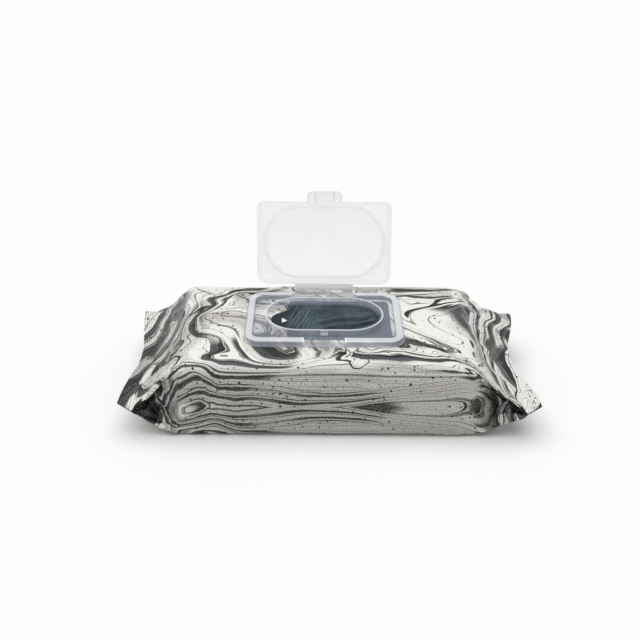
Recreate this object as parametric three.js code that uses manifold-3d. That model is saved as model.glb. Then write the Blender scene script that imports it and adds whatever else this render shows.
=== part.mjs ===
// Wet wipes pack: a sealed printed-film pouch with a flip-top dispensing lid that stands open.
// Millimetres, +Z up. The origin is the centre of the pouch's underside, +X runs along the pack
// and +Y points from the lid's thumb tab to its hinge.
import * as THREE from "three";
import { mergeVertices } from "three/addons/utils/BufferGeometryUtils.js";
import Module from "manifold-3d";

const wasm = await Module();
wasm.setup();

// Pouch: the filled block, the tapered ends with their tucked sides, and the crimped seals.
const PACK_LENGTH = 254.4; // over the corners of both crimped seals
const BODY_LENGTH = 176; // the straight, filled stretch
const BODY_SHIFT = -2.6; // the fill and the lid sit this far off the middle of the pack
const PACK_WIDTH = 112; // over the bulging long sides, and the length of each seal
const PACK_HEIGHT = 51; // floor to the flat top that carries the lid frame
const SIDE_BULGE = 2; // how far each long side swells past its edges
const TOP_EDGE_RADIUS = 10;
const BOTTOM_EDGE_RADIUS = 3;
const BOTTOM_TUCK = 0.5; // the underside is this much narrower than the top, on each side
const TAPER_FULLNESS = { top: 1.2, bottom: 1.45 }; // 1 is a straight taper, more is a fuller one
const SEAL_WIDTH = 8; // crimped band, along the pack
const SEAL_THICKNESS = 1; // four layers of film
const SEAL_EDGE_RADIUS = 0.3;
const SEAL_CENTRE_HEIGHT = 25;
const SEAL_HOLLOW = { left: 6, right: 10 }; // the middle of a seal is drawn in from its corners
const GUSSET_DEPTH = 20; // how far the sides are tucked in at the seal
const SHOULDER = 0.7; // film above and below a seal where it meets the taper
const FOLD_RADIUS = 0.5; // sharp film folds along the taper's edges
const CRIMP_PITCH = 1.4;
const CRIMP_HEIGHT = 0.35;

// Peel label under the lid, with its pull tab to the left.
const LABEL_THICKNESS = 0.125;
const LABEL_INSET = { right: 2.3, front: 3, rear: 1.8 }; // clear of the adhesive's inner edge
const LABEL_WIDTH = 65;
const LABEL_RADIUS = 4;
const LABEL_TAB = { length: 11, rootWidth: 30, waist: 8, fullness: 9 };

// Adhesive that bonds the lid frame to the film.
const ADHESIVE_THICKNESS = 0.25;
const ADHESIVE_INSET = 0.5; // kept back from the flange's outer edge

// Lid frame, injection moulded. Heights are above the film.
const FRAME_SHIFT = -3.5; // the middle of the frame, along the pack
const FLANGE = { width: 100, depth: 66.6, cornerRadius: 11, thickness: 0.8 };
const FLANGE_MARGIN = 1.5; // flange that shows outside the rim
const RIM_TOP = 3.6;
const RIM_SIDE = 4; // width of the rim at the left and the right
const RIM_FRONT = 5.1;
const RIM_REAR = 3.5;
const RIM_WALL = 1;
const OPENING = { width: 72.8, depth: 40.3 };
const COLLAR_WALL = 1.2;
const COLLAR_TOP = 5.6;
const FRONT_NOTCH_WIDTH = 25;
const REAR_GAP_WIDTH = 39;
const CATCH = { width: 4.5, height: 1.6, proud: 0.3, top: 3.5 };
const GATE_STUB = { radius: 1.2, height: 0.9, fromRear: 3.3 }; // left by the mould

// Flip lid, injection moulded in one with its hinge band and thumb tab. It closes into the rim.
const LID_GAP = 0.4; // lid inside the rim, all round
const LID_CORNER = { front: 4.5, rear: 7 };
const LID_THICKNESS = 1;
const LID_LIP = { width: 1.2, height: 0.8, tabGap: 26.3 }; // along the edge, broken at the tab
const PANEL_GAP = 0.4; // raised panel above the frame's collar
const PANEL_WALL = 1;
const PANEL_RADIUS = 4;
const SEAL_RING_WALL = 2.2;
const SEAL_RING_GAP = 0.6; // lid ring outside the frame's collar
const SEAL_RING_LIFT = 0.45; // lid ring above the frame's floor
const HINGE_HEIGHT = 3.8;
const HINGE_WALL = 0.6; // upright along the flange's rear edge that carries the hinge
const HINGE_WALL_GAP = 0.6; // hinge axis above it
const HINGE_BAND_GAP = 0.6; // clear of the rim at each end
const HINGE_BAND_FILLET = 1.8;
const HINGE_WEB = 0.5; // thickness where the band bends
const HINGE_SLOT = { from: 1.5, to: 12 }; // cut through the bend on both sides of its middle
const TAB = { width: 22.7, length: 6.6, cornerRadius: 3, lipWall: 0.9, lipHeight: 1 };
const TAB_RIB = { wall: 0.9, height: 0.8, pocketWidth: 13 };
const OPEN_ANGLE = 110; // degrees from closed

const CURVE_STEPS = 8; // per quarter turn of a corner
const HALF_SQUARE = Math.PI / 2;

// A rectangle centred on the origin, with its own corner radius at the front (-Y) and the rear.
function roundedRectangle(width, depth, frontRadius, rearRadius = frontRadius) {
  const x = width / 2;
  const y = depth / 2;
  const path = new THREE.Shape();
  path.moveTo(-x + frontRadius, -y);
  path.absarc(x - frontRadius, -y + frontRadius, frontRadius, -HALF_SQUARE, 0);
  path.absarc(x - rearRadius, y - rearRadius, rearRadius, 0, HALF_SQUARE);
  path.absarc(-x + rearRadius, y - rearRadius, rearRadius, HALF_SQUARE, 2 * HALF_SQUARE);
  path.absarc(-x + frontRadius, -y + frontRadius, frontRadius, 2 * HALF_SQUARE, 3 * HALF_SQUARE);
  path.closePath();
  return path;
}

// A slot shape with two half-round ends.
function slotShape(width, depth) {
  const radius = depth / 2;
  const shape = new THREE.Shape();
  shape.absarc(width / 2 - radius, 0, radius, -HALF_SQUARE, HALF_SQUARE);
  shape.absarc(-width / 2 + radius, 0, radius, HALF_SQUARE, 3 * HALF_SQUARE);
  shape.closePath();
  return shape;
}

// A flat slab of an outline between two heights.
function slab(shape, bottom, top, curveSegments = CURVE_STEPS) {
  const geometry = new THREE.ExtrudeGeometry(shape, {
    depth: top - bottom,
    bevelEnabled: false,
    curveSegments,
  });
  return solidOf(geometry.translate(0, 0, bottom));
}

// A slot-shaped slab has its curve steps over a half turn.
function slotSlab(width, depth, bottom, top) {
  return slab(slotShape(width, depth), bottom, top, 2 * CURVE_STEPS);
}

function block(x0, x1, y0, y1, z0, z1) {
  const box = new THREE.BoxGeometry(x1 - x0, y1 - y0, z1 - z0);
  return solidOf(box.translate((x0 + x1) / 2, (y0 + y1) / 2, (z0 + z1) / 2));
}

// A profile in the YZ plane, carried along X and centred on it.
function alongX(points, width) {
  const shape = new THREE.Shape(points.map(([y, z]) => new THREE.Vector2(y, z)));
  const geometry = new THREE.ExtrudeGeometry(shape, { depth: width, bevelEnabled: false });
  geometry.translate(0, 0, -width / 2);
  const axes = new THREE.Matrix4().makeBasis(
    new THREE.Vector3(0, 1, 0),
    new THREE.Vector3(0, 0, 1),
    new THREE.Vector3(1, 0, 0),
  );
  return solidOf(geometry.applyMatrix4(axes));
}

// A closed three.js geometry as a manifold-3d solid, and back.
function solidOf(geometry) {
  geometry.deleteAttribute("normal");
  geometry.deleteAttribute("uv");
  const merged = mergeVertices(geometry);
  return new wasm.Manifold(
    new wasm.Mesh({
      numProp: 3,
      vertProperties: merged.attributes.position.array,
      triVerts: new Uint32Array(merged.index.array),
    }),
  );
}

function geometryOf(solid) {
  const mesh = solid.getMesh();
  const geometry = new THREE.BufferGeometry();
  geometry.setAttribute("position", new THREE.BufferAttribute(mesh.vertProperties, 3));
  geometry.setIndex(new THREE.BufferAttribute(mesh.triVerts, 1));
  geometry.computeVertexNormals();
  return geometry;
}

const mix = (a, b, share) => a + (b - a) * share;

// How far along the pack the cut edge of a seal lies, drawn in towards its middle.
function sealEdge(y, hollow) {
  return PACK_LENGTH / 2 - hollow * Math.cos((Math.PI * y) / PACK_WIDTH) ** 2;
}

// One side of a section of the pouch, from the middle of its top to the middle of its underside.
// Between its rounded edges the side swells out, or tucks in where the swell is below zero.
function halfLoop({ top, bottom, topHalf, bottomHalf, topRadius, bottomRadius, swell, roundness }) {
  const flatSteps = 6;
  const cornerSteps = 4;
  const sideSteps = 6;
  const points = [];
  for (let i = 0; i < flatSteps; i++) points.push([((topHalf - topRadius) * i) / flatSteps, top]);
  for (let i = 0; i <= cornerSteps; i++) {
    const angle = HALF_SQUARE * (1 - i / cornerSteps);
    points.push([
      topHalf - topRadius + topRadius * Math.cos(angle),
      top - topRadius + topRadius * Math.sin(angle),
    ]);
  }
  for (let i = 1; i < sideSteps; i++) {
    const down = i / sideSteps;
    const fold = 1 - Math.abs(2 * down - 1) ** roundness;
    points.push([
      mix(topHalf, bottomHalf, down) + swell * fold,
      mix(top - topRadius, bottom + bottomRadius, down),
    ]);
  }
  for (let i = 0; i <= cornerSteps; i++) {
    const angle = -HALF_SQUARE * (i / cornerSteps);
    points.push([
      bottomHalf - bottomRadius + bottomRadius * Math.cos(angle),
      bottom + bottomRadius + bottomRadius * Math.sin(angle),
    ]);
  }
  for (let i = flatSteps - 1; i >= 0; i--) {
    points.push([((bottomHalf - bottomRadius) * i) / flatSteps, bottom]);
  }
  return points;
}

// share is 0 in the filled block and 1 where the tapered end meets its seal.
function filledSection(share) {
  const sealHalf = SEAL_THICKNESS / 2 + SHOULDER;
  const bodyHalf = PACK_WIDTH / 2 - SIDE_BULGE;
  return halfLoop({
    top: mix(PACK_HEIGHT, SEAL_CENTRE_HEIGHT + sealHalf, share ** TAPER_FULLNESS.top),
    bottom: mix(0, SEAL_CENTRE_HEIGHT - sealHalf, share ** TAPER_FULLNESS.bottom),
    topHalf: mix(bodyHalf, PACK_WIDTH / 2, share),
    bottomHalf: mix(bodyHalf - BOTTOM_TUCK, PACK_WIDTH / 2, share),
    topRadius: mix(TOP_EDGE_RADIUS, FOLD_RADIUS, Math.sqrt(share)),
    bottomRadius: mix(BOTTOM_EDGE_RADIUS, FOLD_RADIUS, share),
    swell: mix(SIDE_BULGE + BOTTOM_TUCK / 2, -GUSSET_DEPTH, share ** TAPER_FULLNESS.top),
    roundness: mix(2, 1, share),
  });
}

function sealSection(lift) {
  return halfLoop({
    top: SEAL_CENTRE_HEIGHT + lift + SEAL_THICKNESS / 2,
    bottom: SEAL_CENTRE_HEIGHT + lift - SEAL_THICKNESS / 2,
    topHalf: PACK_WIDTH / 2,
    bottomHalf: PACK_WIDTH / 2,
    topRadius: SEAL_EDGE_RADIUS,
    bottomRadius: SEAL_EDGE_RADIUS,
    swell: 0,
    roundness: 1,
  });
}

// The sections of one end, from the filled block to the cut edge of its crimped seal. Each has
// its side's outline and says how far along the pack it lies at a distance from the middle.
function endSections(bodyEnd, hollow) {
  const taperSteps = 9;
  const ribs = Math.round(SEAL_WIDTH / CRIMP_PITCH);
  const sections = [];
  for (let i = 0; i <= taperSteps; i++) {
    const share = i / taperSteps;
    sections.push({
      half: filledSection(share),
      place: (y) => mix(bodyEnd, sealEdge(y, hollow) - SEAL_WIDTH, share),
    });
  }
  for (let i = 0; i <= 2 * ribs; i++) {
    const fromEdge = SEAL_WIDTH * (1 - i / (2 * ribs));
    sections.push({
      half: sealSection(i % 2 ? CRIMP_HEIGHT / 2 : -CRIMP_HEIGHT / 2),
      place: (y) => sealEdge(y, hollow) - fromEdge,
    });
  }
  return sections;
}

// All sections joined into one skin, with a narrow face along the cut edge of each seal.
function filmPouch() {
  const left = endSections(BODY_LENGTH / 2 - BODY_SHIFT, SEAL_HOLLOW.left);
  const right = endSections(BODY_LENGTH / 2 + BODY_SHIFT, SEAL_HOLLOW.right);
  const sections = [
    ...left.reverse().map(({ half, place }) => ({ half, place: (y) => -place(y) })),
    ...right,
  ];
  const vertices = [];
  for (const { half, place } of sections) {
    const loop = [...half, ...half.slice(1, -1).reverse().map(([y, z]) => [-y, z])];
    for (const [y, z] of loop) vertices.push(place(y), y, z);
  }

  const underside = sections[0].half.length - 1;
  const count = 2 * underside;
  const lastRing = count * (sections.length - 1);
  const triangles = [];
  for (let ring = 0; ring < lastRing; ring += count) {
    for (let i = 0; i < count; i++) {
      const a = ring + i;
      const b = ring + ((i + 1) % count);
      triangles.push(a, a + count, b, b, a + count, b + count);
    }
  }
  const closeEdge = (ring, facing) => {
    for (const side of [1, -1]) {
      const at = (i) => ring + ((side * i + count) % count);
      for (let i = 0; i < underside / 2; i++) {
        const corners = [[at(i), at(underside - i), at(underside - i - 1)]];
        if (i + 1 < underside / 2) corners.push([at(i), at(underside - i - 1), at(i + 1)]);
        for (const c of corners) triangles.push(...(side * facing > 0 ? c : c.reverse()));
      }
    }
  };
  closeEdge(0, -1);
  closeEdge(lastRing, 1);

  const geometry = new THREE.BufferGeometry();
  geometry.setAttribute("position", new THREE.Float32BufferAttribute(vertices, 3));
  geometry.setIndex(triangles);
  return solidOf(geometry);
}

// The frame's main outlines: its rim outside, and the recess that the lid closes into.
const rimOuter = {
  width: FLANGE.width - 2 * FLANGE_MARGIN,
  depth: FLANGE.depth - 2 * FLANGE_MARGIN,
  radius: FLANGE.cornerRadius - FLANGE_MARGIN,
};
const recess = {
  width: rimOuter.width - 2 * RIM_SIDE,
  depth: rimOuter.depth - RIM_FRONT - RIM_REAR,
  middle: (RIM_FRONT - RIM_REAR) / 2,
};

// The label's outline: a round-cornered body and a rounded tongue that widens into it.
function peelLabel() {
  const right = recess.width / 2 - LABEL_INSET.right;
  const left = right - LABEL_WIDTH;
  const y = (recess.depth - LABEL_INSET.front - LABEL_INSET.rear) / 2;
  const r = LABEL_RADIUS;
  const middle = recess.middle + (LABEL_INSET.front - LABEL_INSET.rear) / 2;
  const root = LABEL_TAB.rootWidth / 2;
  const tip = left - LABEL_TAB.length;
  const shape = new THREE.Shape();
  shape.moveTo(left + r, -y);
  shape.absarc(right - r, -y + r, r, -HALF_SQUARE, 0);
  shape.absarc(right - r, y - r, r, 0, HALF_SQUARE);
  shape.absarc(left + r, y - r, r, HALF_SQUARE, 2 * HALF_SQUARE);
  shape.lineTo(left, root);
  shape.bezierCurveTo(left, LABEL_TAB.waist, tip, LABEL_TAB.fullness, tip, 0);
  shape.bezierCurveTo(tip, -LABEL_TAB.fullness, left, -LABEL_TAB.waist, left, -root);
  shape.lineTo(left, -y + r);
  shape.absarc(left + r, -y + r, r, 2 * HALF_SQUARE, 3 * HALF_SQUARE);
  return slab(shape, 0, LABEL_THICKNESS).translate([0, middle, 0]);
}

function rimSlab(inset, bottom, top) {
  const outline = roundedRectangle(rimOuter.width - 2 * inset, rimOuter.depth - 2 * inset, rimOuter.radius - inset);
  return slab(outline, bottom, top);
}

// The recess moved outwards by a distance, with its corners kept concentric with the lid's.
function recessSlab(outset, bottom, top) {
  const outline = roundedRectangle(
    recess.width + 2 * outset,
    recess.depth + 2 * outset,
    LID_CORNER.front + LID_GAP + outset,
    LID_CORNER.rear + LID_GAP + outset,
  );
  return slab(outline, bottom, top).translate([0, recess.middle, 0]);
}

function adhesiveRing() {
  const outline = roundedRectangle(
    FLANGE.width - 2 * ADHESIVE_INSET,
    FLANGE.depth - 2 * ADHESIVE_INSET,
    FLANGE.cornerRadius - ADHESIVE_INSET,
  );
  return slab(outline, 0, ADHESIVE_THICKNESS).subtract(recessSlab(0, -1, 1));
}

const floorTop = ADHESIVE_THICKNESS + FLANGE.thickness;
const collar = { width: OPENING.width + 2 * COLLAR_WALL, depth: OPENING.depth + 2 * COLLAR_WALL };
const hinge = { y: FLANGE.depth / 2 - 0.3, z: HINGE_HEIGHT };
const lidEdge = {
  half: recess.width / 2 - LID_GAP,
  front: recess.middle - recess.depth / 2 + LID_GAP,
  rear: recess.middle + recess.depth / 2 - LID_GAP,
};
const bandHalf = REAR_GAP_WIDTH / 2 - HINGE_BAND_GAP;

function lidFrame() {
  const bottom = ADHESIVE_THICKNESS;
  const above = COLLAR_TOP + 1;
  const rear = FLANGE.depth / 2;
  const notch = FRONT_NOTCH_WIDTH / 2;
  const gap = REAR_GAP_WIDTH / 2;
  const frontCut = (half) => block(-half, half, -rear - 1, 0, bottom - 2, above);
  const rearCut = (half, y = rear + 1) => block(-half, half, 0, y, bottom - 2, above);
  const reliefHalf = bandHalf + HINGE_BAND_FILLET + HINGE_BAND_GAP;
  const reliefDepth = lidEdge.rear + HINGE_BAND_FILLET + HINGE_BAND_GAP / 2;

  const plate = slab(roundedRectangle(FLANGE.width, FLANGE.depth, FLANGE.cornerRadius), bottom, floorTop);
  const rim = rimSlab(0, bottom, RIM_TOP)
    .subtract(recessSlab(0, bottom - 1, above))
    .subtract(frontCut(notch))
    .subtract(rearCut(gap))
    .subtract(rearCut(reliefHalf, reliefDepth));
  const channel = rimSlab(RIM_WALL, bottom - 1, RIM_TOP - RIM_WALL)
    .subtract(recessSlab(RIM_WALL, bottom - 2, above))
    .subtract(frontCut(notch + RIM_WALL))
    .subtract(rearCut(reliefHalf + RIM_WALL));
  const hingeWall = block(-gap, gap, rear - HINGE_WALL, rear, bottom, HINGE_HEIGHT - HINGE_WALL_GAP);
  const catchFace = -collar.depth / 2;
  const catchBar = block(
    -CATCH.width / 2,
    CATCH.width / 2,
    catchFace - CATCH.proud,
    catchFace + COLLAR_WALL / 2,
    CATCH.top - CATCH.height,
    CATCH.top,
  );
  const stub = new THREE.CylinderGeometry(GATE_STUB.radius, GATE_STUB.radius, GATE_STUB.height, 16)
    .rotateX(HALF_SQUARE)
    .translate(0, rear - GATE_STUB.fromRear, floorTop + GATE_STUB.height / 2);
  return plate
    .add(rim)
    .subtract(channel)
    .add(slotSlab(collar.width, collar.depth, bottom, COLLAR_TOP))
    .subtract(slotSlab(OPENING.width, OPENING.depth, bottom - 1, above))
    .add(hingeWall)
    .add(catchBar)
    .add(solidOf(stub));
}

const lidTop = RIM_TOP;
const lidUnderside = RIM_TOP - LID_THICKNESS;

// The band that carries the lid over the rear gap. It thins down to the bend, where two slots
// leave three short straps, and it has a fillet at each side of its root.
function hingeBand() {
  const half = HINGE_WEB / 2;
  const root = lidEdge.rear - LID_LIP.width;
  const bendStart = mix(lidEdge.rear, hinge.y, 0.5);
  const curve = new THREE.Shape();
  curve.moveTo(root, lidTop);
  curve.lineTo(root, lidUnderside);
  curve.lineTo(bendStart, lidUnderside);
  curve.quadraticCurveTo(mix(bendStart, hinge.y, 0.6), lidUnderside, hinge.y - half, hinge.z - half);
  curve.absarc(hinge.y, hinge.z, half, -HALF_SQUARE, HALF_SQUARE);
  curve.quadraticCurveTo(mix(bendStart, hinge.y, 0.4), hinge.z + half, bendStart, lidTop);
  const profile = curve.getPoints(CURVE_STEPS).map((point) => [point.x, point.y]);

  const wide = bandHalf + HINGE_BAND_FILLET;
  const filletEnd = lidEdge.rear + HINGE_BAND_FILLET;
  const plan = new THREE.Shape();
  plan.moveTo(-wide, root - 1);
  plan.lineTo(wide, root - 1);
  plan.absarc(wide, filletEnd, HINGE_BAND_FILLET, 3 * HALF_SQUARE, 2 * HALF_SQUARE, true);
  plan.lineTo(bandHalf, hinge.y + 1);
  plan.lineTo(-bandHalf, hinge.y + 1);
  plan.absarc(-wide, filletEnd, HINGE_BAND_FILLET, 0, -HALF_SQUARE, true);
  plan.closePath();

  const slot = block(HINGE_SLOT.from, HINGE_SLOT.to, hinge.y - 1, hinge.y + 1, lidUnderside, lidTop + 1);
  return alongX(profile, 2 * wide)
    .intersect(slab(plan, lidUnderside - 1, lidTop + 1))
    .subtract(slot)
    .subtract(slot.mirror([1, 0, 0]));
}

// The thumb tab: a lipped plate with short ribs that leave a pocket in its middle.
function thumbTab() {
  const tip = lidEdge.front - TAB.length;
  const root = lidEdge.front + LID_LIP.width;
  const half = TAB.width / 2;
  const lipBottom = lidUnderside - TAB.lipHeight;
  const ribBottom = lidUnderside - TAB_RIB.height;
  const rib = (x) => block(x, x + TAB_RIB.wall, tip, lidEdge.front, ribBottom, lidTop);
  const pocket = TAB_RIB.pocketWidth / 2;
  const tab = block(-half, half, tip, root, lidUnderside, lidTop)
    .add(block(-half, half, tip, tip + TAB.lipWall, lipBottom, lidTop))
    .add(rib(-half))
    .add(rib(half - TAB_RIB.wall))
    .add(rib(-pocket))
    .add(rib(pocket - TAB_RIB.wall));
  const outline = roundedRectangle(TAB.width, 2 * (root - tip), TAB.cornerRadius);
  return tab.intersect(slab(outline, lipBottom - 1, lidTop + 1).translate([0, root, 0]));
}

// The lid as it lies closed in its frame.
function flipLid() {
  const edgeSlab = (inset, bottom, top) => recessSlab(-LID_GAP - inset, bottom, top);
  const lipCut = (half, y0, y1) => block(-half, half, y0, y1, lidUnderside - 2, lidTop);
  const lip = edgeSlab(0, lidUnderside - LID_LIP.height, lidTop)
    .subtract(edgeSlab(LID_LIP.width, lidUnderside - 1, lidTop + 1))
    .subtract(lipCut(LID_LIP.tabGap / 2, lidEdge.front - 1, 0))
    .subtract(lipCut(bandHalf + HINGE_BAND_FILLET, 0, lidEdge.rear + 1));

  const innerWidth = collar.width + 2 * SEAL_RING_GAP;
  const innerDepth = collar.depth + 2 * SEAL_RING_GAP;
  const outerWidth = innerWidth + 2 * SEAL_RING_WALL;
  const outerDepth = innerDepth + 2 * SEAL_RING_WALL;
  const cavityTop = COLLAR_TOP + PANEL_GAP;
  const panelTop = cavityTop + PANEL_WALL;
  const ringBottom = floorTop + SEAL_RING_LIFT;
  const sealRing = slotSlab(outerWidth, outerDepth, ringBottom, panelTop - PANEL_WALL / 2).subtract(
    slotSlab(innerWidth, innerDepth, ringBottom - 1, cavityTop),
  );
  const panelSlab = (outset, bottom, top) =>
    slab(
      roundedRectangle(
        outerWidth - PANEL_WALL / 2 + 2 * outset,
        outerDepth - PANEL_WALL / 2 + 2 * outset,
        PANEL_RADIUS - PANEL_WALL + outset,
      ),
      bottom,
      top,
    );
  return panelSlab(PANEL_WALL, lidUnderside, panelTop)
    .add(edgeSlab(0, lidUnderside, lidTop))
    .subtract(panelSlab(0, lidUnderside - 1, cavityTop))
    .add(lip)
    .add(sealRing)
    .add(hingeBand())
    .add(thumbTab());
}

function mesh(name, solid, color, roughness, opacity = 1) {
  const material = new THREE.MeshStandardMaterial({
    color,
    roughness,
    metalness: 0,
    opacity,
    transparent: opacity < 1,
  });
  const made = new THREE.Mesh(geometryOf(solid), material);
  made.name = name;
  return made;
}

const CLEAR_PLASTIC = 0xe8eaf2;

const pack = new THREE.Group();
pack.add(mesh("film_pouch", filmPouch(), 0xcfccc4, 0.35));

// Everything on the flat top stands in a group at the frame's middle and the film's height.
const topside = new THREE.Group();
topside.position.set(FRAME_SHIFT, 0, PACK_HEIGHT);
topside.add(mesh("peel_label", peelLabel(), 0x2e3840, 0.4));
topside.add(mesh("adhesive_ring", adhesiveRing(), 0xf2f2ee, 0.6, 0.6));
topside.add(mesh("lid_frame", lidFrame(), CLEAR_PLASTIC, 0.3, 0.5));

// The lid turns on its hinge line: the pivot is on the axis, and the lid is drawn closed round it.
const pivot = new THREE.Group();
pivot.position.set(0, hinge.y, hinge.z);
pivot.rotation.x = THREE.MathUtils.degToRad(-OPEN_ANGLE);
const lid = mesh("flip_lid", flipLid(), CLEAR_PLASTIC, 0.3, 0.6);
lid.position.set(0, -hinge.y, -hinge.z);
pivot.add(lid);
topside.add(pivot);
pack.add(topside);

export default pack;
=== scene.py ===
import math

import bmesh
import bpy
from mathutils import Matrix, Vector, noise


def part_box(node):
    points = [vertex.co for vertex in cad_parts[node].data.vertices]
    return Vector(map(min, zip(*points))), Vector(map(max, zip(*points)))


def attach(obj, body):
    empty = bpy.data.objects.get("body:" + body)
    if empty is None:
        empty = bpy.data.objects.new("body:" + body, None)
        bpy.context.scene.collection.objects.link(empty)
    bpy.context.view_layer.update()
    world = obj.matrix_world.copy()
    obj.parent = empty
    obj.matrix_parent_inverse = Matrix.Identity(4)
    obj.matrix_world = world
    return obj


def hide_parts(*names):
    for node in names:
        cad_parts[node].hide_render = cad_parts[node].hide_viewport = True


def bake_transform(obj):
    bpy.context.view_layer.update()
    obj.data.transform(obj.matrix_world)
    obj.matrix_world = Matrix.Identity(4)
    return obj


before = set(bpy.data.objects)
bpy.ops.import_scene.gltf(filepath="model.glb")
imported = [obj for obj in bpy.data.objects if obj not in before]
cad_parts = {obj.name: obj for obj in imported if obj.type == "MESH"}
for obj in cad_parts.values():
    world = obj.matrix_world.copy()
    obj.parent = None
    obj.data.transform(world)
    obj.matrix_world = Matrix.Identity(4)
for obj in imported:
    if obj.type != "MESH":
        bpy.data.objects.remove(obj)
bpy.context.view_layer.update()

# Film pouch: one sheet of printed laminate, wrapped round the stack of wipes, lapped and sealed along
# the underside and crimped shut at both ends, with its sides tucked in beside each seal. It is laid
# out flat in millimetres, with the print on it, then wrapped, creased and pulled tight.
MM = 0.001
BLOCK_END = {-1: 90.6, 1: 85.4}  # where the straight block ends, to the left and to the right
TAPER = 36.0  # along the film, from the block to the seal
SEAL_WIDTH = 8.0
SEAL_HALF = 0.5  # half a seal's thickness
SEAL_HEIGHT = 25.0
SEAL_HOLLOW = {-1: 6.0, 1: 10.0}  # a seal's middle is drawn in from its corners by this much
SHOULDER = {"height": 0.7, "length": 1.5}  # film above and below a seal, where it meets the taper
CORNER_DROP = 6.0  # each seal's front corner is bent down by this much at its inner edge
HALF_LENGTH = 127.2
HALF_WIDTH = 56.0
SIDE_SET_IN = 2.0  # the block's sides start this far in, and bulge out again
SIDE_BULGE = {"reach": 2.2, "full_wall": 30.0}
TOP_HEIGHT = 51.0
FLOOR_GAP = 0.45
TOP_FULLNESS = 1.2  # 1 is a straight taper, and more is a fuller one
BASE_FULLNESS = 1.45
TOP_RADIUS = 10.0
FOOT_RADIUS = 3.0
FOLD_RADIUS = 0.45
GUSSET = 20.0  # how deep the sides are tucked in at a seal
FOLD_SOFTNESS = 0.035  # the tucks' folds are rounded over this share of the side
STRIPS = {"top": 44.0, "edge": 15.7, "side": 38.5, "foot": 4.7, "base": 50.4}  # half way round
STRIP_FACES = (14, 6, 22, 3, 18)
HALF_GIRTH = sum(STRIPS.values())


def mix(a, b, share):
    return a + (b - a) * share


def eased(value, start, end):
    t = min(max((value - start) / (end - start), 0), 1)
    return t * t * (3 - 2 * t)


def which_end(x):
    """-1 for the left end of the pack and 1 for the right."""
    return -1 if x < 0 else 1


def seal_edge(y, side):
    """How far from the middle of the pack a seal's outer edge lies."""
    return HALF_LENGTH - SEAL_HOLLOW[side] * math.cos(math.pi * y / (2 * HALF_WIDTH)) ** 2


def side_fold(share, t, high, low, outer):
    """The side wall's place at t, from its upper edge to its lower. Share is 0 at the block, where
    the wall bulges, and 1 at the seal, where it is tucked in."""
    depth = GUSSET * share
    wall = max(high - low, 0.01)
    total = depth + wall + depth

    def at(t):
        d = min(max(t, 0), 1) * total
        if d < depth:
            return outer - d, high
        if d < depth + wall:
            return outer - depth, high - (d - depth)
        return outer - depth + (d - depth - wall), low

    near = [at(t + step * FOLD_SOFTNESS) for step in (-2, -1, 0, 1, 2)]
    swell = (1 - (2 * t - 1) ** 2) * (1 - share) ** 3 * min(wall / SIDE_BULGE["full_wall"], 1)
    y = sum(place[0] for place in near) / len(near) + SIDE_BULGE["reach"] * swell
    return y, sum(place[1] for place in near) / len(near)


def wrapped(u, v):
    """Where a point of the flat film lies on the pack: u runs along it, v round it from the top."""
    side = which_end(u)
    past = abs(u) - BLOCK_END[side]
    share = min(max(past / TAPER, 0), 1)
    shoulder = SHOULDER["height"] * (1 - eased(past, TAPER - SHOULDER["length"], TAPER))
    half = SEAL_HALF + shoulder
    top = mix(TOP_HEIGHT, SEAL_HEIGHT + half, share**TOP_FULLNESS)
    base = mix(FLOOR_GAP, SEAL_HEIGHT - half, share**BASE_FULLNESS)
    width = mix(HALF_WIDTH - SIDE_SET_IN, HALF_WIDTH, share)
    edge = mix(TOP_RADIUS, FOLD_RADIUS, math.sqrt(share))
    foot = mix(FOOT_RADIUS, FOLD_RADIUS, share)
    rest = abs(v)
    for name, length in STRIPS.items():
        if rest <= length + 1e-6:
            break
        rest -= length
    t = rest / length
    if name == "top":
        y, z = t * (width - edge), top
    elif name == "edge":
        y = width - edge + edge * math.sin(t * math.pi / 2)
        z = top - edge + edge * math.cos(t * math.pi / 2)
    elif name == "side":
        in_seal = past >= TAPER - 0.01
        y, z = side_fold(0 if in_seal else share, t, top - edge, base + foot, width)
    elif name == "foot":
        y = width - foot + foot * math.cos(t * math.pi / 2)
        z = base + foot - foot * math.sin(t * math.pi / 2)
    else:
        y, z = (1 - t) * (width - foot), base
    y = math.copysign(y, v)
    across_seal = max(past - TAPER, 0)
    front_corner = eased(-y, HALF_WIDTH - GUSSET, HALF_WIDTH)
    z -= CORNER_DROP * front_corner * share**2 * (1 - across_seal / SEAL_WIDTH)
    start = mix(BLOCK_END[side], seal_edge(y, side) - SEAL_WIDTH, share)
    x = min(abs(u), BLOCK_END[side]) if past <= 0 else start + across_seal
    return Vector((side * x, y, z))


def steps(start, end, count):
    """Even steps from start up to, but without, end."""
    return [start + (end - start) * i / count for i in range(count)]


along = []
for side in (-1, 1):
    taper_end = BLOCK_END[side] + TAPER
    half = steps(0, BLOCK_END[side], 24) + steps(BLOCK_END[side], taper_end, 24)
    half += steps(taper_end, taper_end + SEAL_WIDTH, 11) + [taper_end + SEAL_WIDTH]
    along += [side * u for u in (reversed(half) if side < 0 else half[1:])]
around = []
start = 0.0
for length, count in zip(STRIPS.values(), STRIP_FACES):
    around += steps(start, start + length, count)
    start += length
around.append(HALF_GIRTH)
around = [-v for v in reversed(around[1:])] + around

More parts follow.
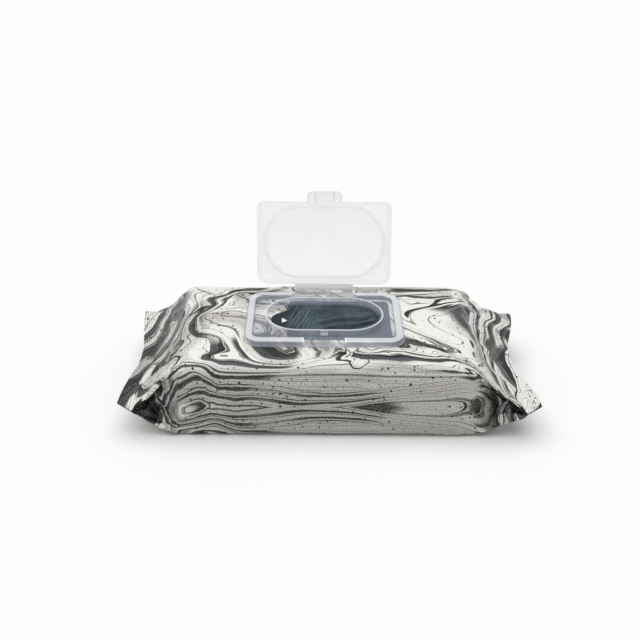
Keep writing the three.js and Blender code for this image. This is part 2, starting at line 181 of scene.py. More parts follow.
film = bmesh.new()
bmesh.ops.create_grid(film, x_segments=len(along) - 1, y_segments=len(around) - 1, size=1)
print_map = film.loops.layers.uv.new("print")
flat = {}
for vertex in film.verts:
    i = round((vertex.co.x + 1) / 2 * (len(along) - 1))
    j = round((vertex.co.y + 1) / 2 * (len(around) - 1))
    flat[vertex] = (along[i], around[j])
    vertex.co = wrapped(along[i], around[j])
for face in film.faces:
    for loop in face.loops:
        u, v = flat[loop.vert]
        loop[print_map].uv = (u * MM, v * MM)
seam = [vertex for vertex in film.verts if abs(abs(flat[vertex][1]) - HALF_GIRTH) < 1e-6]
bmesh.ops.remove_doubles(film, verts=seam, dist=1e-4)
film.normal_update()


LID_X = -3.5  # the lid's middle, along the pack
FLAT_UNDER_LID = (56.0, 40.0)  # half length and half width of the film that has no creases
CREASE_HEIGHT = 1.3
BLOCK_SWELL = 0.25  # the tight film of the block is nearly even
SEAL_WAVE = 2.4


def under_lid(place, half_length, half_width):
    """True on the flat top, within a rectangle about the middle of the lid."""
    return abs(place.x - LID_X) < half_length and abs(place.y) < half_width and place.z > 40


def crease(place, size, seed):
    """Sharp valleys between smooth swells, from 0 in a valley to about 1."""
    return abs(noise.noise(Vector((place.x / size, place.y / size, place.z / size + seed)))) * 2


creased = {}
for vertex in film.verts:
    x, y, z = vertex.co
    side = which_end(x)
    free = eased(abs(x), BLOCK_END[side] - 8, BLOCK_END[side] + 10)
    fin = eased(abs(x), seal_edge(y, side) - 12, seal_edge(y, side) - 7)
    place = Vector((x * 0.55, y, z))
    swell = crease(place, 11, 3.1) * 1.5 + crease(place, 5, 7.7) * 0.6 - 0.9
    gentle = noise.noise(vertex.co / 30 + Vector((5, 1, 8))) * BLOCK_SWELL
    rise = swell * free * (1 - fin) * CREASE_HEIGHT + gentle * (1 - free)
    creased[vertex] = vertex.normal * rise
    creased[vertex].z += fin * noise.noise(Vector((side * 3.3, y / 17, 2))) * SEAL_WAVE
for vertex, shift in creased.items():
    if not under_lid(vertex.co, *FLAT_UNDER_LID):
        vertex.co += shift
if film.calc_volume(signed=True) < 0:
    bmesh.ops.reverse_faces(film, faces=film.faces)
for vertex in film.verts:
    vertex.co *= MM


def piece(name, mesh, smooth=True):
    """A named object from a finished bmesh."""
    data = bpy.data.meshes.new(name)
    mesh.to_mesh(data)
    mesh.free()
    if smooth:
        data.shade_smooth()
    made = bpy.data.objects.new(name, data)
    bpy.context.scene.collection.objects.link(made)
    return made


def apply_modifiers(made):
    """Works an object's modifiers into its mesh."""
    depsgraph = bpy.context.evaluated_depsgraph_get()
    data = bpy.data.meshes.new_from_object(made.evaluated_get(depsgraph), depsgraph=depsgraph)
    made.modifiers.clear()
    made.data = data


pouch = piece("printed_pouch", film)


def weight(made, name, share):
    """A vertex group whose weight at each vertex is share(place in millimetres)."""
    group = made.vertex_groups.new(name=name)
    for vertex in made.data.vertices:
        group.add([vertex.index], share(vertex.co / MM), "REPLACE")
    return group.name


HELD_UNDER_LID = (52.0, 36.0)
RESTING = {"height": 2.0, "half_length": 80.0, "half_width": 50.0}
FOLD_START = 6.0  # how far inside the block's end the sharp folds begin
FOLD_HEIGHT = {"block": 4.85, "seal": SEAL_HEIGHT + 4.5}
WIPES_GAP = {"sides": 2.5, "top": 0.7}  # between the film and the stack of wipes
DRAWN_IN = {"block": 0.6, "seal": 4.5}  # the furthest that the cloth may move the film


def held(place):
    """1 where the film can't move: at the seals, under the lid's frame and under the pack's weight.
    The sharp folds from the corners of the block to the corners of the seals hold nearly as well."""
    side = which_end(place.x)
    if seal_edge(place.y, side) - abs(place.x) < SEAL_WIDTH + 0.4:
        return 1.0
    if under_lid(place, *HELD_UNDER_LID):
        return 1.0
    inside = abs(place.x) < RESTING["half_length"] and abs(place.y) < RESTING["half_width"]
    if place.z < RESTING["height"] and inside:
        return 1.0
    share = min(max((abs(place.x) - BLOCK_END[side] + FOLD_START) / TAPER, 0), 1)
    fold = mix(FOLD_HEIGHT["block"], FOLD_HEIGHT["seal"], share**BASE_FULLNESS)
    return 0.9 if share > 0 and abs(place.y) > 52 and place.z < fold else 0.0


def loose(place):
    """0 on the block and 1 past its ends, where there is more film than the pack needs."""
    end = BLOCK_END[which_end(place.x)]
    return eased(abs(place.x), end - 25, end + 8)


def pull_tight(made, frames=24):
    """The loose film buckles over the stack of wipes, as it does when the air is drawn out."""
    stack = bmesh.new()
    bmesh.ops.create_cube(stack, size=1)
    middle = (BLOCK_END[1] - BLOCK_END[-1]) / 2
    for vertex in stack.verts:
        x = middle + vertex.co.x * (BLOCK_END[1] + BLOCK_END[-1] - 2 * WIPES_GAP["sides"])
        y = vertex.co.y * (2 * HALF_WIDTH - 2 * WIPES_GAP["sides"])
        z = TOP_HEIGHT / 2 + vertex.co.z * (TOP_HEIGHT - 2 * WIPES_GAP["top"])
        vertex.co = Vector((x, y, z)) * MM
    bmesh.ops.bevel(
        stack,
        geom=stack.edges[:],
        offset=6 * MM,
        offset_type="OFFSET",
        affect="EDGES",
        segments=3,
        profile=0.5,
        material=-1,
    )
    wipes = piece("wipes", stack)
    wipes.modifiers.new("solid", "COLLISION")
    wipes.collision.thickness_outer = 0.5 * MM
    before = [vertex.co.copy() for vertex in made.data.vertices]
    cloth = made.modifiers.new("film", "CLOTH")
    film_set = cloth.settings
    film_set.quality = 6
    film_set.mass = 0.15
    film_set.tension_stiffness = 25
    film_set.compression_stiffness = 25
    film_set.shear_stiffness = 12
    film_set.bending_stiffness = 0.4
    film_set.air_damping = 4
    film_set.effector_weights.gravity = 0
    film_set.use_pressure = True
    film_set.uniform_pressure_force = -0.6
    film_set.vertex_group_mass = weight(made, "held", held)
    film_set.vertex_group_shrink = weight(made, "loose", loose)
    film_set.shrink_min = 0.0
    film_set.shrink_max = -0.045
    cloth.collision_settings.distance_min = 0.4 * MM
    cloth.collision_settings.use_self_collision = False
    cloth.point_cache.frame_start = 1
    cloth.point_cache.frame_end = frames
    for number in range(1, frames + 1):
        bpy.context.scene.frame_set(number)
    apply_modifiers(made)
    bpy.context.scene.frame_set(1)
    for vertex, start in zip(made.data.vertices, before):
        shift = vertex.co - start
        end = BLOCK_END[which_end(start.x)]
        toward_seal = eased(abs(start.x) / MM, end - 2, end + 30)
        limit = mix(DRAWN_IN["block"], DRAWN_IN["seal"], toward_seal) * MM
        if shift.length > limit:
            vertex.co = start + shift.normalized() * limit
        vertex.co.z = max(vertex.co.z, 0.1 * MM)
    made.vertex_groups.clear()
    bpy.data.objects.remove(wipes)


pull_tight(pouch)
rounding = pouch.modifiers.new("rounding", "SUBSURF")
rounding.levels = rounding.render_levels = 1
rounding.uv_smooth = "NONE"
apply_modifiers(pouch)

# The seals are crimped into ribs, and the lapped seam stands proud along the underside.
RIB_PITCH = 1.4
RIB_HEIGHT = 0.2
LAP_WIDTH = 9.0
LAP_STEP = 0.35
film = bmesh.new()
film.from_mesh(pouch.data)
film.normal_update()
print_map = film.loops.layers.uv["print"]
proud = {}
for vertex in film.verts:
    x, y, z = vertex.co / MM
    v = vertex.link_loops[0][print_map].uv.y / MM
    inward = seal_edge(y, which_end(x)) - abs(x)
    in_lap = v > HALF_GIRTH - LAP_WIDTH and inward > SEAL_WIDTH
    proud[vertex] = vertex.normal * (LAP_STEP if in_lap else 0)
    ribbed = 1 - eased(inward, SEAL_WIDTH - RIB_PITCH / 2, SEAL_WIDTH)
    proud[vertex].z += ribbed * RIB_HEIGHT * math.sin(2 * math.pi * inward / RIB_PITCH)
for vertex, shift in proud.items():
    vertex.co += shift * MM
    vertex.co.z = max(vertex.co.z, 0.05 * MM)
open_edges = [edge for edge in film.edges if edge.is_boundary]
cut_ends = bmesh.ops.holes_fill(film, edges=open_edges, sides=0)["faces"]
bmesh.ops.triangulate(film, faces=cut_ends)
film.to_mesh(pouch.data)
film.free()
pouch.data.shade_smooth()
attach(pouch, "pack")
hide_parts("film_pouch")


class Wire:
    """A socket in a material's node tree. Arithmetic on it adds Math nodes."""

    def __init__(self, tree, socket=None):
        self.tree = tree
        self.socket = socket

    def node(self, kind, settings=None, inputs=None, output=0):
        made = self.tree.nodes.new(kind)
        for name, value in (settings or {}).items():
            if name == "stops":
                self.fill(made.color_ramp, value)
            else:
                setattr(made, name, value)
        for name, value in (inputs or {}).items():
            if isinstance(value, Wire):
                self.tree.links.new(value.socket, made.inputs[name])
            elif made.inputs[name].type == "RGBA":
                made.inputs[name].default_value = (*value, 1)
            else:
                made.inputs[name].default_value = value
        return Wire(self.tree, made.outputs[output])

    def fill(self, ramp, stops):
        """Each stop of a ramp is a place and the flat colour that starts there."""
        ramp.interpolation = "CONSTANT"
        ramp.elements.remove(ramp.elements[1])
        for number, (place, colour) in enumerate(stops):
            stop = ramp.elements[0] if number == 0 else ramp.elements.new(place)
            stop.position = place
            stop.color = (*colour, 1)

    def bands(self, *stops):
        """Bands of ink along this wire's value. The last ink comes round again at 0."""
        stops = [(0.0, stops[-1][1]), *stops]
        return self.node("ShaderNodeValToRGB", {"stops": stops}, {0: self})

    def maths(self, operation, *values):
        return self.node("ShaderNodeMath", {"operation": operation}, dict(enumerate(values)))

    def __add__(self, other):
        return self.maths("ADD", self, other)

    def __sub__(self, other):
        return self.maths("SUBTRACT", self, other)

    def __rsub__(self, other):
        return self.maths("SUBTRACT", other, self)

    def __mul__(self, other):
        return self.maths("MULTIPLY", self, other)

    def __truediv__(self, other):
        return self.maths("DIVIDE", self, other)

    __radd__ = __add__
    __rmul__ = __mul__

    def size(self):
        return self.maths("ABSOLUTE", self)

    def either(self, other):
        """The larger of two masks."""
        return self.maths("MAXIMUM", self, other)

    def step(self, start, end):
        """0 below start and 1 above end, eased between them."""
        settings = {"interpolation_type": "SMOOTHSTEP"}
        inputs = {"Value": self, "From Min": start, "From Max": end}
        return self.node("ShaderNodeMapRange", settings, inputs)

    def between(self, start, end, soft):
        """1 between start and end, eased on their inner sides."""
        return self.step(start, start + soft) * (1 - self.step(end - soft, end))

    def colour(self, factor, first, second, way="MIX"):
        """A mix of two colours."""
        settings = {"data_type": "RGBA", "blend_type": way}
        return self.node("ShaderNodeMix", settings, {0: factor, 6: first, 7: second}, output=2)

    def vector(self, operation, *values, output=0):
        settings = {"operation": operation}
        return self.node("ShaderNodeVectorMath", settings, dict(enumerate(values)), output)

    def noise(self, place, scale, detail=2.0, output=0):
        """Soft noise: output 0 is a value, output 1 a colour."""
        inputs = {"Vector": place, "Scale": scale, "Detail": detail}
        return self.node("ShaderNodeTexNoise", {}, inputs, output)

    def place(self):
        """The object's own coordinates, in metres."""
        return self.node("ShaderNodeTexCoord", output=3)

    def parts(self, place):
        """The first two parts of a vector."""
        return [self.node("ShaderNodeSeparateXYZ", {}, {0: place}, axis) for axis in (0, 1)]

    def join(self, first, second):
        return self.node("ShaderNodeCombineXYZ", {}, {0: first, 1: second, 2: 0.0})

    def bump(self, height, strength, distance):
        inputs = {"Strength": strength, "Distance": distance, "Height": height}
        return self.node("ShaderNodeBump", {}, inputs)


def srgb(code):
    """A colour written as six hexadecimal digits, in the renderer's linear numbers."""
    parts = [int(code[i : i + 2], 16) / 255 for i in (0, 2, 4)]
    return tuple(p / 12.92 if p <= 0.04045 else ((p + 0.055) / 1.055) ** 2.4 for p in parts)


def dress(made, name, look, **constants):
    """A new material for a piece. look(wire) gives the sockets that vary over it."""
    material = bpy.data.materials.new(name)
    material.use_nodes = True
    tree = material.node_tree
    shader = tree.nodes["Principled BSDF"]
    for socket, value in constants.items():
        shader.inputs[socket.replace("_", " ")].default_value = value
    for socket, wire in look(Wire(tree)).items():
        tree.links.new(wire.socket, shader.inputs[socket])
    made.data.materials.clear()
    made.data.materials.append(material)


CREAM = srgb("f1efe9")
PALE = srgb("cfccc5")
STONE = srgb("9d9a96")
ASH = srgb("6a6a6b")
SLATE = srgb("43474a")
INK = srgb("101112")
FRONT_MIDDLE = -(STRIPS["top"] + STRIPS["edge"] + STRIPS["side"] * 0.47) * MM
WAIST = 0.012  # along the pack, where the front's streams draw together
SEAL_START = {side: (BLOCK_END[side] + TAPER) * MM for side in (-1, 1)}


def marbled_film(w):
    """The print and the sheen of the film, with painted shade in its tucks and in the grooves of its
    seals, laid out on the flat sheet in metres.
    """
    flat = w.node("ShaderNodeUVMap", {"uv_map": "print"})
    u, v = w.parts(flat)

    # The print mirrors itself about the middle of the front panel, where it is drawn out level.
    # Toward the ends the line that it mirrors about wanders.
    across = (u - WAIST).size()
    wander = (w.noise(flat, 24.0, 0.0) - 0.5) * across.step(0.05, 0.1) * 0.05
    off = (v - FRONT_MIDDLE + wander).size()
    level = (1 - off.step(0.014, 0.034)) * (1 - across.step(0.055, 0.115))
    place = w.join(u * (1 - level * 0.55), off)

    def drawn(place, scale, reach, detail=0.0):
        """The place moved by soft noise, as a stylus draws the ink about."""
        way = w.vector("SUBTRACT", w.noise(place, scale, detail, 1), (0.5, 0.5, 0.5))
        far = w.join(1 - level * 0.2, 1 - level * 0.75)
        way = w.vector("MULTIPLY", w.vector("MULTIPLY", way, (reach, reach, 0.0)), far)
        return w.vector("ADD", place, way)

    bent = drawn(place, 10.0, 0.16)
    bent = drawn(bent, 27.0, 0.062, 1.0)
    bent = drawn(bent, 80.0, 0.012, 2.0)
    x, y = w.parts(bent)

    # Ink flows round the pack in streams that narrow at the waist, and swirls elsewhere.
    waist = 1 + (1 - across.step(0.0, 0.085)) * 1.2
    ragged = across + w.noise(flat, 25.0, 1.0) * 0.05
    streams = (y * waist).step(0.0, 0.034) * (1 - ragged.step(0.097, 0.15)) * 2.3
    mirror = (1 - off.step(0.002, 0.020)) * (1 - across.step(0.10, 0.12))
    swirl = w.noise(bent, 12.0, 0.0) * (4.2 - level * 2.8) * (1 - mirror * 0.7)
    flow = streams + y * 6.0 + x * 2.2 + swirl + 0.03
    turn = w.maths("FRACT", flow)

    # Its bands are calm and pale in places, bold in others, and bold all over the ends.
    calm = turn.bands(
        (0.06, STONE), (0.075, CREAM), (0.16, ASH), (0.168, CREAM), (0.30, INK), (0.312, PALE),
        (0.33, ASH), (0.36, PALE), (0.375, INK), (0.385, CREAM), (0.55, STONE), (0.56, CREAM),
        (0.74, PALE), (0.76, INK), (0.78, STONE), (0.80, INK), (0.812, CREAM),
    )
    bold = turn.bands(
        (0.04, ASH), (0.05, CREAM), (0.10, INK), (0.12, ASH), (0.14, SLATE), (0.27, INK),
        (0.40, CREAM), (0.415, INK), (0.43, STONE), (0.445, INK), (0.455, CREAM), (0.56, INK),
        (0.575, PALE), (0.60, SLATE), (0.69, INK), (0.70, CREAM), (0.80, STONE), (0.81, CREAM),
        (0.87, INK), (0.885, CREAM),
    )
    near_waist = level * (1 - across.step(0.01, 0.06)) * 0.08
    drama = (w.noise(place, 19.0, 0.0) + near_waist).step(0.42, 0.5)
    ends = u.size().step(0.088, 0.104)
    inked = w.colour(drama.either(ends), calm, bold)

    # Hair lines follow the bands.
    fine = w.maths("FRACT", flow * 6.0)
    hair = fine.between(0.44, 0.56, 0.05) * w.noise(bent, 30.0, 0.0).step(0.5, 0.54)
    inked = w.colour(hair * 0.8, inked, ASH)

    # Black ink pools at the ends, most of all in the tucked sides of the left one: partly print, and
    # partly painted shade, for the end panels slope away from the light and the tucks lie in shade.
    tuck_shade = ends * v.size().between(0.054, 0.102, 0.006)
    ink_pools_and_shade = (w.noise(bent, 26.0, 0.0) + tuck_shade * (0.1 - u * 0.6)).step(0.51, 0.54) * ends
    inked = w.colour(ink_pools_and_shade * 0.92, inked, INK)

    # Drops of paler ink push the bands aside.
    # Fewer pale drops in the tucked sides, as painted shade there.
    drop = w.noise(w.vector("ADD", bent, (3.1, 1.9, 0.0)), 27.0, 0.0) - level * 0.3 - tuck_shade * 0.2
    rings = w.maths("FRACT", drop * 17.0).bands(
        (0.10, STONE), (0.13, CREAM), (0.50, PALE), (0.55, ASH), (0.60, CREAM), (0.86, CREAM),
    )
    inked = w.colour(drop.step(0.585, 0.59), inked, INK)
    inked = w.colour(drop.step(0.605, 0.61), inked, rings)

    # Fine ink has broken up into grains, and dots are spattered over it.
    stony = w.noise(bent, 36.0, 1.0).step(0.47, 0.6).either(level)
    grain = w.noise(flat, 1500.0, 1.0).step(0.46, 0.6)
    light_grain = w.noise(flat, 1300.0, 1.0).step(0.6, 0.66)
    dots = (w.noise(flat, 450.0, 0.0) + w.noise(bent, 40.0, 0.0) * 0.12).step(0.80, 0.82)
    inked = w.colour(stony * 0.5, inked, srgb("cbc9c6"), "MULTIPLY")
    inked = w.colour(grain * stony * 0.8, inked, srgb("a19f9c"), "MULTIPLY")
    inked = w.colour(light_grain * stony * 0.4, inked, PALE)
    inked = w.colour(dots, inked, INK)

    # The grooves between the ribs of the seals are darkened with slate, as painted shade.
    right = u.step(SEAL_START[1] - 0.4 * MM, SEAL_START[1])
    left = (0 - u).step(SEAL_START[-1] - 0.4 * MM, SEAL_START[-1])
    rib = w.maths("FRACT", u.size() / (RIB_PITCH * MM))
    groove = rib.between(0.2, 0.8, 0.2) * right.either(left)
    print_and_painted_shade = w.colour(groove * 0.4, inked, SLATE)

    rumple = w.noise(flat, 130.0, 3.0)
    settings = {"feature": "SMOOTH_F1"}
    crinkle = w.node("ShaderNodeTexVoronoi", settings, {"Vector": flat, "Scale": 160.0})
    relief = rumple * (0.2 + ends * 0.4) + crinkle * (ends * 0.5)
    gloss = w.noise(flat, 300.0, 2.0) * 0.1 + 0.25
    return {"Base Color": print_and_painted_shade, "Roughness": gloss, "Normal": w.bump(relief, 0.5, 0.001)}


dress(pouch, "marbled_film", marbled_film, Specular_IOR_Level=0.35)

# Peel label: dark printed film under the lid, stuck over the dispensing hole in the pouch, with
# a rounded tongue to pull it open and a small white arrow on the tongue. Where the frame leaves it
# free, inside the opening, it has buckled into soft creases.
LID_MIDDLE = Vector((LID_X * MM, 0, 0))
OPENING_HALF = (0.0364, 0.0201)
LABEL_CUT = 0.0009  # the label is cut into squares of this size, so that it can bend
# Each crease's height above the label's middle line, slope, width, and how far it stands up.
LABEL_CREASES = ((-0.003, 0.30, 0.0022, 1.2), (-0.013, 0.42, 0.0030, 1.4))
ARROW = {"tip": -0.0268, "length": 0.0035, "half": 0.0030, "y": -0.0005}


def merged(node):
    """A copy of a CAD node's mesh as a bmesh, with its flat faces whole again."""
    shell = bmesh.new()
    shell.from_mesh(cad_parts[node].data)
    bmesh.ops.remove_doubles(shell, verts=shell.verts, dist=2e-6)
    flat_angle = math.radians(2)
    bmesh.ops.dissolve_limit(shell, angle_limit=flat_angle, verts=shell.verts, edges=shell.edges)
    return shell


sheet = merged("peel_label")
low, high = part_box("peel_label")
for axis in (0, 1):
    way = Vector((axis == 0, axis == 1, 0))
    for number in range(1, int((high[axis] - low[axis]) / LABEL_CUT)):
        bmesh.ops.bisect_plane(
            sheet,
            geom=sheet.verts[:] + sheet.edges[:] + sheet.faces[:],
            dist=1e-7,
            plane_co=Vector(low) + way * LABEL_CUT * number,
            plane_no=way,
        )


def buckle(place):
    """How far the label stands up off the pouch, in metres: two long creases and soft swells."""
    x, y = (place - LID_MIDDLE).to_2d()
    free_along = 1 - eased(abs(x), OPENING_HALF[0] - 0.010, OPENING_HALF[0] - 0.001)
    free_across = 1 - eased(abs(y), OPENING_HALF[1] - 0.009, OPENING_HALF[1] - 0.001)
    bend = noise.noise(Vector((x * 60, y * 90, 4.2))) * 0.004
    reach = eased(x, -0.012, 0.006)
    swell = noise.noise(Vector((x * 150, y * 260, 1.7))) * 0.25 + 0.35
    for start, slope, width, height in LABEL_CREASES:
        away = (y - start - slope * (x - 0.006) + bend) / width
        ridge = math.exp(-((away - 1) ** 2))
        valley = math.exp(-((away + 0.6) ** 2))
        swell += height * reach * (ridge - 0.55 * valley)
    return max(swell, 0) * free_along * free_across * MM


# Painted shade: each vertex keeps how steeply the label rises toward the back, and the colour is
# darkened there.
shade = sheet.verts.layers.float.new("crease")
ahead = Vector((0, 0.0006, 0))
for vertex in sheet.verts:
    rise = buckle(vertex.co + ahead) - buckle(vertex.co - ahead)
    vertex[shade] = max(rise / (2 * ahead.y), 0)
    vertex.co.z += buckle(vertex.co)
bmesh.ops.triangulate(sheet, faces=sheet.faces)
label = piece("creased_label", sheet)
label.data.set_sharp_from_angle(angle=math.radians(60))
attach(label, "pack")
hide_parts("peel_label")


def label_film(w):
    """Slate film: plain on the tongue, then drawn-out streaks, then pale grains, with painted shade
    on one slope of each crease.
    """
    place = w.place()
    x, y = w.parts(place)
    rotation = (0, 0, math.radians(-74))
    turned = w.node("ShaderNodeMapping", {}, {"Vector": place, "Rotation": rotation})
    drawn_out = w.vector("MULTIPLY", turned, (0.05, 1.0, 1.0))
    pale = w.noise(place, 45.0, 2.0).step(0.35, 0.65) * x.step(-0.030, -0.015)
    patches = w.noise(place, 120.0, 2.0).step(0.35, 0.65)
    grains = w.noise(place, 1500.0, 1.0).step(0.5, 0.72) * x.step(-0.022, -0.006)
    streaked = x.step(-0.030, -0.022) * (1 - x.step(-0.016, -0.002))
    streaks = w.noise(drawn_out, 1100.0, 0.0).step(0.45, 0.75) * streaked
    crease = w.node("ShaderNodeAttribute", {"attribute_name": "crease"}, {}, "Fac")
    tone = w.colour(pale, srgb("1c2831"), srgb("33444f"))
    tone = w.colour(patches * grains * 0.5 + grains * 0.35, tone, srgb("7e919b"))
    tone = w.colour(streaks * 0.5, tone, srgb("76848b"))
    # Painted shade: the label is darkened on one slope of each crease.
    tone = w.colour(crease.step(0.10, 0.4) * 0.85, tone, srgb("0f1a22"))
    along = (x - ARROW["tip"]) / -ARROW["length"]
    beside = (y - ARROW["y"]).size() / ARROW["half"]
    arrow = along.between(0.0, 1.0, 0.05) * (1 - (beside - along).step(-0.05, 0.05))
    return {
        "Base Color": w.colour(arrow, tone, srgb("f4f4f4")),
        "Normal": w.bump(w.noise(place, 400.0, 2.0), 0.3, 0.0004),
        "Roughness": patches * 0.12 + 0.3,
    }


dress(label, "label_film", label_film, Specular_IOR_Level=0.2)

# Adhesive: the clear hot-melt bead that bonds the lid's frame to the film. The solid itself shows,
# as a thin cloudy line.
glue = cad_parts["adhesive_ring"]


def hot_melt(w):
    cloud = w.noise(w.place(), 300.0, 2.0)
    tone = w.colour(cloud, srgb("e9e8ee"), srgb("d4d4e0"))
    return {"Base Color": tone, "Alpha": cloud * 0.2 + 0.25, "Roughness": cloud * 0.2 + 0.3}


dress(glue, "hot_melt", hot_melt)

# Lid frame: moulded in frosted polypropylene, with a flange bonded to the film, a rim that the
# lid closes into, an oval collar round the opening and an upright wall that carries the hinge.
FRAME_ROUNDING = 0.00022
# Heights at which a wall, the rim's brim and the collar's brim begin to show and show in full.
WALL = (0.0521, 0.0528)
RIM_BRIM = (0.0542, 0.0545)
COLLAR_BRIM = (0.0562, 0.0565)
# Places from the frame's middle, where its small parts begin and end.
COLLAR = {"along": (0.0378, 0.0382), "across": (0.0216, 0.0219)}
NOTCH = {"inner": (0.0124, 0.0125), "outer": (0.0134, 0.0136), "back": (-0.0275, -0.0265)}
STUB = {"behind": 0.030, "edge": (0.0013, 0.0014)}
CATCH = {"along": (0.0023, 0.0024), "across": (-0.0218, -0.0213)}


def moulded(node, name, width):
    """A copy of a CAD node with its edges rounded as a moulding's are."""
    made = piece(name, merged(node), smooth=False)
    edges = made.modifiers.new("edges", "BEVEL")
    edges.width = width
    edges.segments = 2
    edges.profile = 0.5
    edges.limit_method = "ANGLE"
    edges.angle_limit = math.radians(40)
    edges.use_clamp_overlap = True
    edges.harden_normals = False
    apply_modifiers(made)
    made.data.shade_smooth()
    made.data.set_sharp_from_angle(angle=math.radians(50))
    return made


rim = moulded("lid_frame", "frosted_frame", FRAME_ROUNDING)
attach(rim, "pack")
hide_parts("lid_frame")


def frosted(tones):
    """Frosted plastic. tones(wire, place, cloud) gives its colour and how much it hides."""

    def look(w):
        place = w.place()
        cloud = w.noise(place, 60.0, 3.0)
        fine = w.noise(place, 2500.0, 2.0)
        colour, hiding = tones(w, place, cloud)
        return {
            "Base Color": colour,
            "Alpha": hiding + cloud * 0.05,
            "Roughness": fine * 0.12 + 0.2,
            "Normal": w.bump(fine, 0.12, 0.0003),
        }

    return look


def frame_tones(w, place, cloud):
    """The floor is clearest. Walls are bluish where they are looked through, white at their tops."""
    x, y = w.parts(w.vector("SUBTRACT", place, LID_MIDDLE))
    height = w.node("ShaderNodeSeparateXYZ", {}, {0: place}, 2)
    across = x.size()
    wall = height.step(*WALL)
    collar = (1 - across.step(*COLLAR["along"])) * (1 - y.size().step(*COLLAR["across"]))
    brim = height.step(*RIM_BRIM) * (1 - collar) + height.step(*COLLAR_BRIM) * collar
    notch_ends = across.step(*NOTCH["inner"]) * (1 - across.step(*NOTCH["outer"]))
    notch_ends = notch_ends * (1 - y.step(*NOTCH["back"]))
    from_stub = w.vector("LENGTH", w.join(x, y - STUB["behind"]), output=1)
    stub = 1 - from_stub.step(*STUB["edge"])
    catch = (1 - across.step(*CATCH["along"])) * y.between(*CATCH["across"], 0.0001)
    bright = wall * notch_ends.either(stub.either(catch))
    tone = w.colour(cloud, srgb("e5eaf6"), srgb("d7deef"))
    tone = w.colour(brim.either(bright), tone, srgb("f9fafd"))
    return tone, wall * 0.1 + brim * 0.4 + bright * 0.5 + 0.1


dress(rim, "frosted_frame", frosted(frame_tones))

# Flip lid: the same moulding's other half, standing open on three thin straps. It has a raised
# panel, an oval ring that seals round the frame's collar, a thumb tab and a hinge band.
LID_ROUNDING = 0.0002
HINGE = Vector((LID_X * MM, 0.033, 0.0548))
OPEN_ANGLE = 110
RING_HALF = (0.0404, 0.02415)
RING_WIDTH = 0.0026
# Places on the closed lid, from the hinge, where its parts begin and end.
BORDER = {"along": (0.0400, 0.0412), "across": (0.0240, 0.0252)}
BAND = {"whole": (-0.0065, -0.0015), "root": (-0.0056, -0.0048)}
TAB = {"root": (-0.0594, -0.0592), "lip": (-0.0651, -0.0649)}
TAB_RIBS = {"sides": (0.0104, 0.0105), "middle": (0.0055, 0.0066)}

lid = moulded("flip_lid", "frosted_lid", LID_ROUNDING)
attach(lid, "lid")
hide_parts("flip_lid")


def lid_tones(w, place, cloud):
    """The panel is greenish, the border and the hinge band are greyer, the ring is the whitest.
    Places are taken from the hinge, with the lid turned as if it were closed."""
    rotation = (math.radians(OPEN_ANGLE), 0, 0)
    opened = w.vector("SUBTRACT", place, HINGE)
    closed = w.node("ShaderNodeMapping", {}, {"Vector": opened, "Rotation": rotation})
    x, y = w.parts(closed)
    across = x.size()
    ahead = (y + HINGE.y).size()
    border = across.step(*BORDER["along"]).either(ahead.step(*BORDER["across"]))
    straight, radius = RING_HALF[0] - RING_HALF[1], RING_HALF[1]
    beyond = (across - straight).either(0.0)
    out = w.vector("LENGTH", w.join(beyond, ahead), output=1)
    inner = radius - RING_WIDTH
    ring = out.step(inner, inner + 0.0005) * (1 - out.step(radius, radius + 0.0004))
    band = y.step(*BAND["whole"])
    root = y.step(*BAND["root"])
    tab = 1 - y.step(*TAB["root"])
    ribs = across.step(*TAB_RIBS["sides"]) + across.between(*TAB_RIBS["middle"], 0.0001)
    lipped = ribs.either(1 - y.step(*TAB["lip"])) * tab
    tone = w.colour(cloud, srgb("eaf9e8"), srgb("e4f3e3"))
    tone = w.colour(border, tone, srgb("eaeaee"))
    tone = w.colour(ring.either(lipped), tone, srgb("ffffff"))
    tone = w.colour(band, tone, srgb("f4f4f7"))
    hiding = ring * 0.16 + lipped * 0.3 + border * 0.04 + root * 0.3 + band * 0.14 + 0.12
    return tone, hiding


dress(lid, "frosted_lid", frosted(lid_tones))

# Hinge straps: three thin tongues of the same moulding that join the frame to the lid's band. On the
# real pack they bend as the lid turns; here they are built straight.
STRAPS = ((-0.0189, -0.0120), (-0.0015, 0.0015), (0.0120, 0.0189))  # from and to, along the hinge
STRAP_THICKNESS = 0.0003
STRAP_LENGTH = 0.0008

hinges = bmesh.new()
for start, end in STRAPS:
    for vertex in bmesh.ops.create_cube(hinges, size=1)["verts"]:
        x = HINGE.x + (end if vertex.co.x > 0 else start)
        y = HINGE.y + vertex.co.y * STRAP_THICKNESS
        z = HINGE.z + (vertex.co.z - 0.5) * STRAP_LENGTH
        vertex.co = (x, y, z)
upright = [
    edge for edge in hinges.edges if abs(edge.verts[0].co.z - edge.verts[1].co.z) > 1e-5
]
bmesh.ops.subdivide_edges(hinges, edges=upright, cuts=6, use_grid_fill=True)
straps = piece("hinge_straps", hinges, smooth=False)
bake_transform(straps)


def strap_tones(w, place, cloud):
    return w.colour(cloud, srgb("eceef4"), srgb("e0e3ec")), cloud * 0.2 + 0.4


dress(straps, "frosted_straps", frosted(strap_tones))

# Floor: white paper where it is seen, directly, in a gloss or through the plastic, and a little
# darker where it only throws light back on the pack.
SEEN_WHITE = (0.96, 0.96, 0.96)
BOUNCE_GREY = (0.66, 0.66, 0.66)
FLOOR_HALF = 6
ground = bmesh.new()
bmesh.ops.create_grid(ground, x_segments=1, y_segments=1, size=FLOOR_HALF)
floor = piece("floor", ground, smooth=False)


def ray(w, kind):
    """1 for light that reaches the eye in one way, such as through a clear piece."""
    return w.node("ShaderNodeLightPath", output=f"Is {kind} Ray")


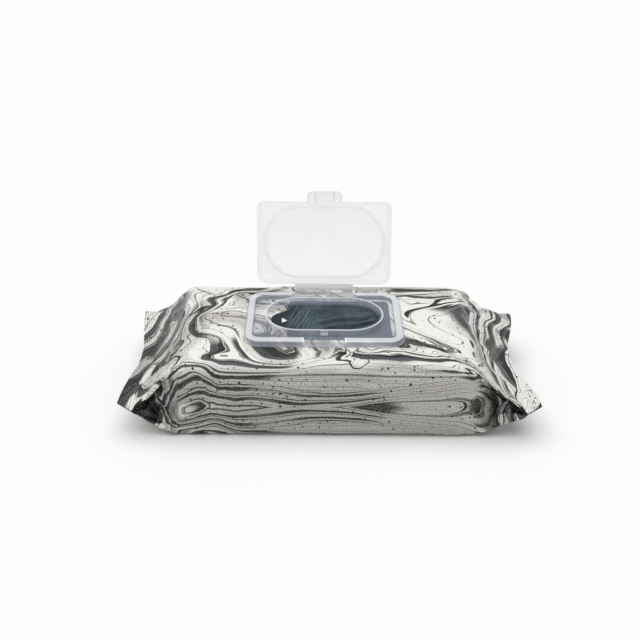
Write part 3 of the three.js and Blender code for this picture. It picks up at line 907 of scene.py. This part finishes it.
def paper(w):
    seen = ray(w, "Camera").either(ray(w, "Glossy").either(ray(w, "Transmission")))
    return {"Base Color": w.colour(seen, BOUNCE_GREY, SEEN_WHITE)}


dress(floor, "floor_paper", paper, Roughness=0.9)

# Light: an even pale room, which looks white behind the pack, and one broad lamp overhead that
# lays a soft shadow round it.
ROOM_LIGHT = 0.35
LAMP_TOWARD = Vector((0.12, 0.03, -1))
LAMP_SOFTNESS = math.radians(70)
LAMP_POWER = 2.15
world = bpy.data.worlds.new("studio")
bpy.context.scene.world = world
world.use_nodes = True
sky = world.node_tree.nodes["Background"]
sky.inputs["Color"].default_value = (1, 1, 1, 1)
w = Wire(world.node_tree)
seen = ray(w, "Camera").either((ray(w, "Glossy") * 0.4).either(ray(w, "Transmission")))
strength = seen * (1 - ROOM_LIGHT) + ROOM_LIGHT
world.node_tree.links.new(strength.socket, sky.inputs["Strength"])

sun = bpy.data.lights.new("overhead", "SUN")
sun.angle = LAMP_SOFTNESS
sun.energy = LAMP_POWER
lamp = bpy.data.objects.new("overhead", sun)
lamp.rotation_euler = LAMP_TOWARD.to_track_quat("-Z", "Y").to_euler()
bpy.context.scene.collection.objects.link(lamp)

# Camera: in front of the pack and above it, as fitted to the photograph, which is 640 pixels wide.
# The angles turn it about the upright, tip it down and roll it.
VIEW_TURN = math.radians(-0.48)
VIEW_DROP = math.radians(29.59)
VIEW_ROLL = math.radians(0.7)
VIEW_DISTANCE = 0.6128
AIM = Vector((-0.00604, 0.0001, 0.0516))
FOCAL_PIXELS = 964.2
PICTURE_PIXELS = 640
right = Vector((math.cos(VIEW_TURN), math.sin(VIEW_TURN), 0))
level = Vector((-math.sin(VIEW_TURN), math.cos(VIEW_TURN), 0))
forward = level * math.cos(VIEW_DROP) - Vector((0, 0, math.sin(VIEW_DROP)))
up = right.cross(forward)
lens = bpy.data.cameras.new("camera")
lens.sensor_width = 36
lens.lens = lens.sensor_width * FOCAL_PIXELS / PICTURE_PIXELS
lens.clip_start = 0.01
camera = bpy.data.objects.new("camera", lens)
place = Matrix.Translation(AIM - forward * VIEW_DISTANCE)
turn = Matrix((right, up, -forward)).transposed().to_4x4()
camera.matrix_world = place @ turn @ Matrix.Rotation(VIEW_ROLL, 4, "Z")
bpy.context.scene.collection.objects.link(camera)
bpy.context.scene.camera = camera
bpy.context.scene.view_settings.view_transform = "Standard"
